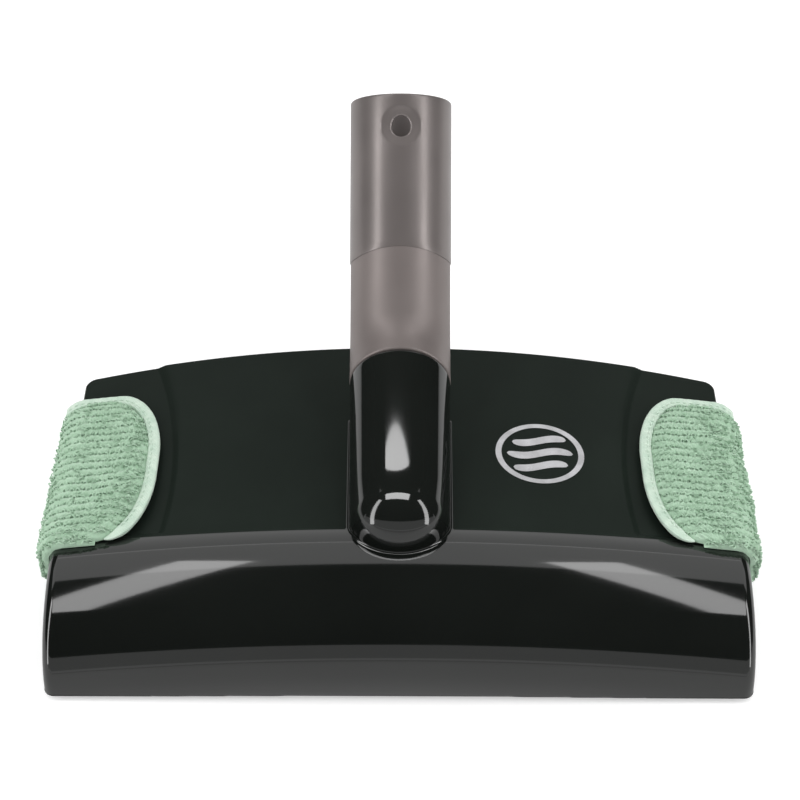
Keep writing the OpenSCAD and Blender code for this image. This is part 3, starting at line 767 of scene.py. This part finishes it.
def flap_sheet(side):
    """Top and under surface of a flap, on the right: its line runs flat, then round a quarter bend, then down to
    the floor, and the pile's height stands on that line along its normal, less at the free edges."""
    nu, nv = 150, 250
    corner_r = 7.0
    tuck = BINDING_W - BINDING_OVER
    y_front, y_back = CREASE_Y - 3.0, FLAP_BACK - tuck
    y = y_front + (y_back - y_front) * np.linspace(0, 1, nv)
    x_in = flap_edge(y, tuck)
    wave = 0.5 * np.sin(y / 5.3 + side) + 0.35 * np.sin(y / 2.9 + 2 * side)
    corner = corner_r - np.sqrt(np.maximum(corner_r ** 2 - np.maximum(corner_r - (y_back - y), 0) ** 2, 0))
    x_bend = FLAP_OUT - FLAP_BEND_R - FLAP_THICK - 1.6 + 0.35 * wave - corner * 0.8
    flat = np.maximum(x_bend - x_in, 2.0)
    drop = 11.5 + 0.006 * (y + 27)
    arc = FLAP_BEND_R * math.pi / 2
    s = np.linspace(0, 1, nu)[:, None] * (flat + arc + drop)[None, :]
    turn = np.clip((s - flat) / FLAP_BEND_R, 0, math.pi / 2)
    below = np.maximum(s - flat - arc, 0)
    x_line = x_in + np.minimum(s, flat) + FLAP_BEND_R * np.sin(turn)
    z_top = flap_ground(np.minimum(x_line, x_bend + FLAP_BEND_R), y[None, :]) + FLAP_UNDER + 0.2
    z_line = z_top - FLAP_BEND_R * (1 - np.cos(turn)) - below
    free = np.minimum(s, 6.0) / 6.0
    edge = np.minimum(np.minimum((y - y_front) / 2.5 + 0.1, (y_back - y) / 4.5), 1.0)[None, :]
    puff = FLAP_THICK * np.sqrt(np.clip(free, 0.03, 1)) * np.sqrt(np.clip(edge, 0.03, 1))
    along = np.broadcast_to(y, s.shape)
    pile = (terry_height(s, along, 1.3 * side) - 0.3) * np.clip(free * 1.6, 0, 1)
    height = puff + pile * np.sqrt(np.clip(edge, 0.05, 1))
    top = np.stack([x_line + np.sin(turn) * height, along, z_line + np.cos(turn) * height], 2)
    top[..., 2] = np.maximum(top[..., 2], 0.25)
    top[..., 0] = np.minimum(top[..., 0], FLAP_OUT + 1.6)
    under = np.stack([x_line, along, np.maximum(z_line, 0.15)], 2)
    return top, under, y_front, y_back


def flap_loops(top, y_front, y_back, side):
    """Yarn loops on a flap: each sits on one of the pile's rows, at a random place along it, and takes its
    tangent and normal from the neighbouring points of the grid."""
    count = 2600
    nu, nv = top.shape[:2]
    draw = np.random.default_rng(11 + side)
    last_row = int((y_back - y_front - 3) / PILE_ROW)
    row = draw.integers(0, last_row + 1, count)
    y = y_front + 1.6 + row * PILE_ROW + draw.normal(0, 0.55, count)
    share = draw.uniform(0.04, 0.97, count)
    j = np.clip((y - y_front) / (y_back - y_front) * (nv - 1), 1, nv - 2).astype(int)
    i = np.clip(share * (nu - 1), 1, nu - 2).astype(int)
    out = top[i + 1, j] - top[i - 1, j]
    along = top[i, j + 1] - top[i, j - 1]
    normal = np.cross(out, along)
    normal /= np.linalg.norm(normal, axis=1)[:, None]
    tangent = out / np.linalg.norm(out, axis=1)[:, None]
    spot = top[i, j]
    clear = (spot[:, 2] > 1.6) & (spot[:, 0] < FLAP_OUT + 1.2)
    loops, faces = yarn_loops(spot[clear] + 0.1 * normal[clear], tangent[clear], normal[clear], 0.85, 5 + side)
    loops[:, 2] = np.maximum(loops[:, 2], 0.2)
    return loops, faces


def make_flap(side):
    """A terry flap as one closed body with its loops: it lies on the lowered deck, rounds the deck's end and
    hangs to the floor."""
    name = "left" if side < 0 else "right"
    top, under, y_front, y_back = flap_sheet(side)
    verts, faces = shell(top.reshape(-1, 3), under.reshape(-1, 3), grid_faces(*top.shape[:2]))
    loops, loop_faces = flap_loops(top, y_front, y_back, side)
    all_verts = np.concatenate([verts, loops]) * (side, 1, 1)
    all_faces = np.concatenate([faces, loop_faces + len(verts)])
    obj = mesh_piece("terry_flap_" + name, all_verts, all_faces, [TERRY], 80, weld=0.003)
    return hand_over(obj, "pad_flap_" + name, "head")


def binding_path():
    """Middle of the binding on the right flap: in along the back edge, round, and forward to the crease, moved
    half its width towards the terry and spaced evenly."""
    half = BINDING_W / 2
    turn = np.linspace(0, math.pi / 2, 60)
    y_back = FLAP_BACK_ROUND + (FLAP_BACK - FLAP_BACK_ROUND) * np.cos(turn)
    y_front = FLAP_FRONT_ROUND - FLAP_TIP * np.sin(np.linspace(0, math.pi / 2, 50)[1:])
    y = np.concatenate([y_back, np.linspace(FLAP_BACK_ROUND, FLAP_FRONT_ROUND, 8)[1:], y_front])
    x = flap_edge(y, 0)
    x = np.concatenate([np.linspace(HALF_DECK + 5.5, x[0] + 1.5, 26), x])
    y = np.concatenate([np.full(26, FLAP_BACK), y])
    dx, dy = np.gradient(x), np.gradient(y)
    length = np.hypot(dx, dy)
    x, y = x - dy / length * half, y + dx / length * half
    arc = np.concatenate([[0], np.cumsum(np.hypot(np.diff(x), np.diff(y)))])
    even = np.linspace(0, arc[-1], 230)
    x, y = np.interp(even, arc, x), np.interp(even, arc, y)
    keep = y > CREASE_Y - 3.0
    return x[keep], y[keep]


def binding_lift(x, y):
    """Height of the binding's middle: on the deck, then easing down over its end."""
    over = np.maximum(x - HALF_DECK + 2.0, 0)
    return flap_ground(np.minimum(x, HALF_DECK), y) + FLAP_UNDER + 1.5 - 0.09 * over ** 2


def stitch_row(x, y, dx, dy, arc):
    """Stitches along the binding, one every 2.6 mm: short rounded threads that bow up in their middle and
    narrow at both ends. Returns points and faces."""
    spots = np.arange(1.5, arc[-1] - 8, 2.6)
    steps, sides = 7, 6
    tx, ty = np.interp(spots, arc, dx), np.interp(spots, arc, dy)
    sx = np.interp(spots, arc, x) + np.interp(spots, arc, -dy) * STITCH_IN
    sy = np.interp(spots, arc, y) + np.interp(spots, arc, dx) * STITCH_IN
    t = np.linspace(-1, 1, steps)
    ring = np.linspace(0, 2 * math.pi, sides, endpoint=False)[None, None, :]
    thread = (0.24 * np.sqrt(np.maximum(1 - t ** 4, 0.0004)))[None, :, None]
    along = (0.85 * t)[None, :, None]
    bow = (0.18 * (1 - t * t))[None, :, None]
    tx, ty, sx, sy = (value[:, None, None] for value in (tx, ty, sx, sy))
    off = thread * np.cos(ring)
    gx = sx + tx * along - ty * off
    gy = sy + ty * along + tx * off
    gz = binding_lift(gx, gy) + 1.36 + bow + thread * np.sin(ring)
    one = grid_faces(steps, sides, False, True)
    faces = (one[None] + (np.arange(len(spots)) * steps * sides)[:, None, None]).reshape(-1, 4)
    return np.stack([gx, gy, gz], 3).reshape(-1, 3), faces


def make_binding(side):
    """Binding tape folded over the flap's edge: a flat rounded section, a superellipse that puckers a little,
    carried along the edge and narrowing over its last 7 mm, with a row of stitches."""
    name = "left" if side < 0 else "right"
    x, y = binding_path()
    dx, dy = np.gradient(x), np.gradient(y)
    length = np.hypot(dx, dy)
    dx, dy = dx / length, dy / length
    n = 24
    a = np.linspace(0, 2 * math.pi, n, endpoint=False)
    wide = BINDING_W / 2 * np.sign(np.cos(a)) * np.abs(np.cos(a)) ** 0.7
    high = 1.3 * np.sign(np.sin(a)) * np.abs(np.sin(a)) ** 0.6
    arc = np.concatenate([[0], np.cumsum(np.hypot(np.diff(x), np.diff(y)))])
    pucker = 1 + 0.05 * np.sin(arc * 1.9) + 0.03 * np.sin(arc * 0.8 + 1)
    fade = np.sqrt(np.clip((arc[-1] - arc) / 7.0, 0.03, 1))[:, None]
    cx = x[:, None] - dy[:, None] * wide[None, :] * fade
    cy = y[:, None] + dx[:, None] * wide[None, :] * fade
    crown = high[None, :] * pucker[:, None] * fade - 0.6 * (1 - fade)
    rings = np.stack([cx, cy, binding_lift(cx, cy) + crown], 2)
    faces = grid_faces(len(x), n, False, True).tolist()
    verts = np.concatenate([rings.reshape(-1, 3), [rings[0].mean(0), rings[-1].mean(0)]])
    first, last = len(verts) - 2, len(verts) - 1
    base = (len(x) - 1) * n
    faces += [[first, (i + 1) % n, i] for i in range(n)]
    faces += [[last, base + i, base + (i + 1) % n] for i in range(n)]
    stitches, stitch_faces = stitch_row(x, y, dx, dy, arc)
    all_verts = np.concatenate([verts, stitches]) * (side, 1, 1)
    slots = [0] * len(faces) + [1] * len(stitch_faces)
    faces += (stitch_faces + len(verts)).tolist()
    obj = mesh_piece("binding_tape_" + name, all_verts, faces, [BINDING, STITCH], 70, slots, weld=0.001)
    return hand_over(obj, "pad_binding_" + name, "head")


def sole_plan(nu, nv, inset):
    """Grid of the plan under the deck, moved in by inset: from the line behind the suction mouth to the deck's
    back outline. Also each point's rough distance to the nearest edge."""
    u = np.linspace(-1, 1, nu)[:, None]
    v = np.linspace(0, 1, nv)[None, :]
    x = u * (HALF_DECK - inset) + np.zeros((1, nv))
    y_back, _, _ = back_outline(np.clip(x, -HALF_DECK + 0.01, HALF_DECK - 0.01), inset)
    y_front = CREASE_Y + 3.8 + inset
    y = y_front + v * (y_back - y_front)
    edge = np.minimum(np.minimum((1 - np.abs(u)) * HALF_DECK, v * 100), (1 - v) * 100)
    return x, y, edge


def soft_slab(name, x, y, top, bottom, material, smooth_angle):
    """A closed body between two heights over one plan."""
    high = np.stack([x, y, np.broadcast_to(top, x.shape)], 2).reshape(-1, 3)
    low = np.stack([x, y, np.broadcast_to(bottom, x.shape)], 2).reshape(-1, 3)
    verts, faces = shell(high, low, grid_faces(*x.shape))
    return mesh_piece(name, verts, faces, [material], smooth_angle)


def make_sole():
    """The pile under the sole, rows of tufts across a closed slab that rises at its edges, and the backing cloth
    above it."""
    x, y, edge = sole_plan(300, 120, 0.8)
    tufts = 1.5 * (1.15 - terry_height(x, y, 0.4)).clip(0, 2)
    rise = 2.6 * (1 - np.sqrt(np.clip(edge / 3.0, 0, 1)))
    pile = soft_slab("terry_sole", x, y, SOLE_BACKING_Z - 0.05, np.maximum(0.1 + tufts + rise, 0.05), TERRY, 80)
    hand_over(pile, "pad_pile", "head")

    x, y, edge = sole_plan(120, 50, 0.5)
    top = BACKING_TOP_Z - 0.5 * (1 - np.clip(edge / 2.0, 0, 1)) ** 2
    backing = soft_slab("sole_backing", x, y, top, SOLE_BACKING_Z, BACKING, 60)
    hand_over(backing, "pad_backing", "head")


# ---------- badge ----------

MARK_AT = (52.0, 15.0)
MARK_R = 16.5
MARK_RIM = 2.2
MARK_BAR_GAP = 7.0
MARK_LIFT = 0.02
FOIL_THICK = 0.12


def foil(inner, outer, close, offset):
    """Foil that follows the deck between two lines of the plan, with a thin edge all round."""
    rows = []
    for h in (MARK_LIFT + FOIL_THICK, MARK_LIFT - 0.1):
        rows += [np.stack([x, y, deck_z(x, y) + h], 1) for x, y in (inner, outer)]
    n = len(inner[0])
    top_in, top_out, low_in, low_out = offset, offset + n, offset + 2 * n, offset + 3 * n
    k = np.arange(n if close else n - 1)
    k2 = (k + 1) % n
    faces = []
    for a, b in ((top_in, top_out), (top_out, low_out), (low_out, low_in), (low_in, top_in)):
        faces += np.stack([a + k, b + k, b + k2, a + k2], 1).tolist()
    if not close:
        faces += [[top_in + i, top_out + i, low_out + i, low_in + i] for i in (0, n - 1)]
    return np.concatenate(rows), faces


def make_mark():
    """A plain silver badge in thin foil: a ring, and three bars inside it that wave as a sine and round off at
    their ends."""
    a = np.linspace(0, 2 * math.pi, 96, endpoint=False)
    ring = [(MARK_AT[0] + r * np.cos(a), MARK_AT[1] + r * np.sin(a)) for r in (MARK_R - MARK_RIM, MARK_R)]
    verts, faces = foil(*ring, True, 0)
    t = np.linspace(-1, 1, 40)
    half = 1.9 * np.sqrt(np.maximum(1 - t ** 6, 0.002))
    for k in (-1, 0, 1):
        reach = math.sqrt((MARK_R - MARK_RIM - 2) ** 2 - (k * MARK_BAR_GAP) ** 2)
        x = MARK_AT[0] + t * reach
        y = MARK_AT[1] + k * MARK_BAR_GAP + 1.5 * np.sin(t * reach / 4.2)
        bar_verts, bar_faces = foil((x, y - half), (x, y + half), False, len(verts))
        verts = np.concatenate([verts, bar_verts])
        faces += bar_faces
    obj = mesh_piece("badge_foil", verts, faces, [MARK_SILVER], 40, weld=0.001)
    return hand_over(obj, None, "head")


# ---------- pieces that keep their own shape ----------

def finish_kept_nodes():
    """Every piece that keeps its shape gets its material."""
    finishes = {
        INNER_GREY: ["base_plate", "duct_trough"],
        LIP_RUBBER: ["duct_gasket", "front_wiper", "rear_wiper", "swivel_seal", "wand_seal"],
        ROLLER_GREY: ["roller_left", "roller_right"],
        STEEL: ["roller_axle_left", "roller_axle_right", "cover_screws", "swivel_retainer"],
        HOOKS: ["hook_strip_left", "hook_strip_right", "sole_hook_strips"],
    }
    for material, names in finishes.items():
        for name in names:
            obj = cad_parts[name]
            obj.data.materials.clear()
            obj.data.materials.append(material)


# ---------- studio: lengths in metres, angles of the card from the back, in degrees ----------

FLAG_FROM = 46
FLAG_TO = 176
GREY_FROM = 153
GREY_CARD = 0.62
FLOOR_LIFT = 0.36
WORLD_LIGHT = 0.66

def make_camera():
    """A long lens, looking down at the head from the front."""
    camera = bpy.data.objects.new("camera", bpy.data.cameras.new("camera"))
    camera.data.lens = 94.5
    camera.data.sensor_width = 36
    camera.data.clip_start = 0.05
    camera.data.clip_end = 20
    camera.location = (0.0, -0.502267, 0.613533)
    look = Vector((0, 0.6820, -0.7314))
    roll = Quaternion((0, 0, 1), math.radians(0.22))
    camera.rotation_mode = "QUATERNION"
    camera.rotation_quaternion = look.to_track_quat("-Z", "Y") @ roll
    bpy.context.scene.collection.objects.link(camera)
    bpy.context.scene.camera = camera


def strip_light(name, start, end, width, target, radiance, only=(), skip=()):
    """A straight area lamp from start to end that faces a target; its power follows from its area. With only,
    it lights just those pieces; with skip, all but those."""
    start, end, target = Vector(start), Vector(end), Vector(target)
    along = (end - start).normalized()
    away = (start + end) / 2 - target
    away = (away - away.dot(along) * along).normalized()
    across = away.cross(along)
    lamp = bpy.data.lights.new(name, "AREA")
    lamp.shape = "RECTANGLE"
    lamp.size, lamp.size_y = (end - start).length, width
    lamp.energy = radiance * math.pi * lamp.size * lamp.size_y
    obj = bpy.data.objects.new(name, lamp)
    turn = Matrix((along, across, away)).transposed()
    if turn.determinant() < 0:
        turn = Matrix((along, -across, away)).transposed()
    obj.matrix_world = Matrix.Translation((start + end) / 2) @ turn.to_4x4()
    bpy.context.scene.collection.objects.link(obj)
    if only or skip:
        group = bpy.data.collections.new(name + "_lights")
        for piece in only or skip:
            group.objects.link(piece)
        if skip:
            for entry in group.collection_objects:
                entry.light_linking.link_state = "EXCLUDE"
        obj.light_linking.receiver_collection = group
    return obj


def set_piece(name, verts, faces, materials):
    """A piece of the set, in metres, which isn't part of the head."""
    obj = bpy.data.objects.new(name, bpy.data.meshes.new(name))
    obj.data.from_pydata(verts, [], faces)
    for material in materials:
        obj.data.materials.append(material)
    bpy.context.scene.collection.objects.link(obj)
    return obj


def black_card():
    """A card that is all but black and has no gloss."""
    card = bpy.data.materials.new("flag_black")
    card.use_nodes = True
    shader = card.node_tree.nodes["Principled BSDF"]
    shader.inputs["Base Color"].default_value = (0.01, 0.01, 0.01, 1)
    shader.inputs["Specular IOR Level"].default_value = 0
    return card


def grey_card():
    """A card that shows one even grey."""
    card = bpy.data.materials.new("flag_grey")
    card.use_nodes = True
    tree = card.node_tree
    tree.nodes.clear()
    glow = tree.nodes.new("ShaderNodeEmission")
    glow.inputs["Strength"].default_value = GREY_CARD
    out = tree.nodes.new("ShaderNodeOutputMaterial")
    tree.links.new(glow.outputs[0], out.inputs["Surface"])
    return card


def pale_floor():
    """A pale matt floor that the eye sees a little lighter than its light makes it."""
    material = bpy.data.materials.new("floor_pale")
    material.use_nodes = True
    tree = material.node_tree
    tree.nodes.clear()
    diffuse = tree.nodes.new("ShaderNodeBsdfDiffuse")
    diffuse.inputs["Color"].default_value = (0.8, 0.8, 0.8, 1)
    lift = tree.nodes.new("ShaderNodeEmission")
    path = tree.nodes.new("ShaderNodeLightPath")
    scale = tree.nodes.new("ShaderNodeMath")
    scale.operation = "MULTIPLY"
    scale.inputs[1].default_value = FLOOR_LIFT
    add = tree.nodes.new("ShaderNodeAddShader")
    out = tree.nodes.new("ShaderNodeOutputMaterial")
    tree.links.new(path.outputs["Is Camera Ray"], scale.inputs[0])
    tree.links.new(scale.outputs[0], lift.inputs["Strength"])
    tree.links.new(diffuse.outputs[0], add.inputs[0])
    tree.links.new(lift.outputs[0], add.inputs[1])
    tree.links.new(add.outputs[0], out.inputs["Surface"])
    return material


def make_world():
    """Surroundings that are white to the eye, in gloss and through clear parts, and a soft grey as light."""
    world = bpy.data.worlds.new("studio")
    bpy.context.scene.world = world
    world.use_nodes = True
    tree = world.node_tree
    ground = tree.nodes["Background"]
    ground.inputs["Color"].default_value = (1, 1, 1, 1)
    path = tree.nodes.new("ShaderNodeLightPath")
    mix = tree.nodes.new("ShaderNodeMix")
    mix.inputs["A"].default_value = WORLD_LIGHT
    mix.inputs["B"].default_value = 1.0
    seen = path.outputs["Is Camera Ray"]
    for ray in ("Is Glossy Ray", "Is Transmission Ray"):
        either = tree.nodes.new("ShaderNodeMath")
        either.operation = "MAXIMUM"
        tree.links.new(seen, either.inputs[0])
        tree.links.new(path.outputs[ray], either.inputs[1])
        seen = either.outputs[0]
    tree.links.new(seen, mix.inputs["Factor"])
    tree.links.new(mix.outputs["Result"], ground.inputs["Strength"])


def make_flag():
    """A black card bent over the set in an arc round the X axis, and one upright card on each side, which only
    reflections meet: they keep the glossy cover dark, and leave the pale surroundings low at the back to show
    in its edge. The arc's lowest stretch in front is grey."""
    radius, half, steps = 1.25, 6.0, 40
    side_x, side_y, side_z = 1.3, (-0.2, 2.4), (0.03, 1.3)
    a = np.radians(np.linspace(FLAG_FROM, FLAG_TO, steps))
    y, z = radius * np.cos(a), radius * np.sin(a)
    arc = [np.stack([np.full_like(y, s * half), y, z], 1) for s in (-1, 1)]
    verts = np.concatenate(arc).tolist()
    faces = grid_faces(2, steps).tolist()
    for s in (-1, 1):
        faces.append([len(verts) + c for c in range(4)])
        verts += [(s * side_x, side_y[j], side_z[k]) for j, k in ((0, 0), (1, 0), (1, 1), (0, 1))]
    flag = set_piece("flag", verts, faces, [black_card(), grey_card()])
    flag.visible_camera = False
    flag.visible_diffuse = False
    flag.visible_shadow = False
    flag.visible_transmission = False
    slots = [int(angle > math.radians(GREY_FROM)) for angle in a[:-1]] + [0, 0]
    flag.data.polygons.foreach_set("material_index", slots)


def make_studio(ridge, cover):
    """Pale floor and surroundings, the black card, and softboxes: pairs of strips from above and from the sides
    for head and wand, a small box for the ridge alone, and a low panel behind for the cover alone."""
    size = 6.0
    corners = [(-size, -size, 0), (size, -size, 0), (size, size, 0), (-size, size, 0)]
    set_piece("floor", corners, [(0, 1, 2, 3)], [pale_floor()])
    make_world()
    head = (0, 0, 0.03)
    for s, name in ((-1, "left"), (1, "right")):
        strip_light("top_strip_" + name, (0.56 * s, -0.16, 0.95), (0.3 * s, 0.5, 0.95), 0.14, head, 5.0,
                    skip=[ridge])
        strip_light("side_strip_" + name, (0.8 * s, -0.62, 0.06), (0.74 * s, 0.1, 0.9), 0.16, head, 7.0)
    strip_light("ridge_box", (-0.17, 0.045, 0.345), (0.11, 0.02, 0.345), 0.13, (0, -0.02, 0.05), 9.0,
                only=[ridge])
    strip_light("back_panel", (-2, 0.66, 1.0), (2, 0.66, 1.0), 0.5, (0, -0.04, 0.03), 1.2, only=[cover])
    make_flag()
    bpy.context.scene.view_settings.view_transform = "Standard"


make_camera()
make_studio(make_hump(), make_cover())
make_elbow()
make_sleeve()
for side in (-1, 1):
    make_flap(side)
    make_binding(side)
make_sole()
make_mark()
finish_kept_nodes()
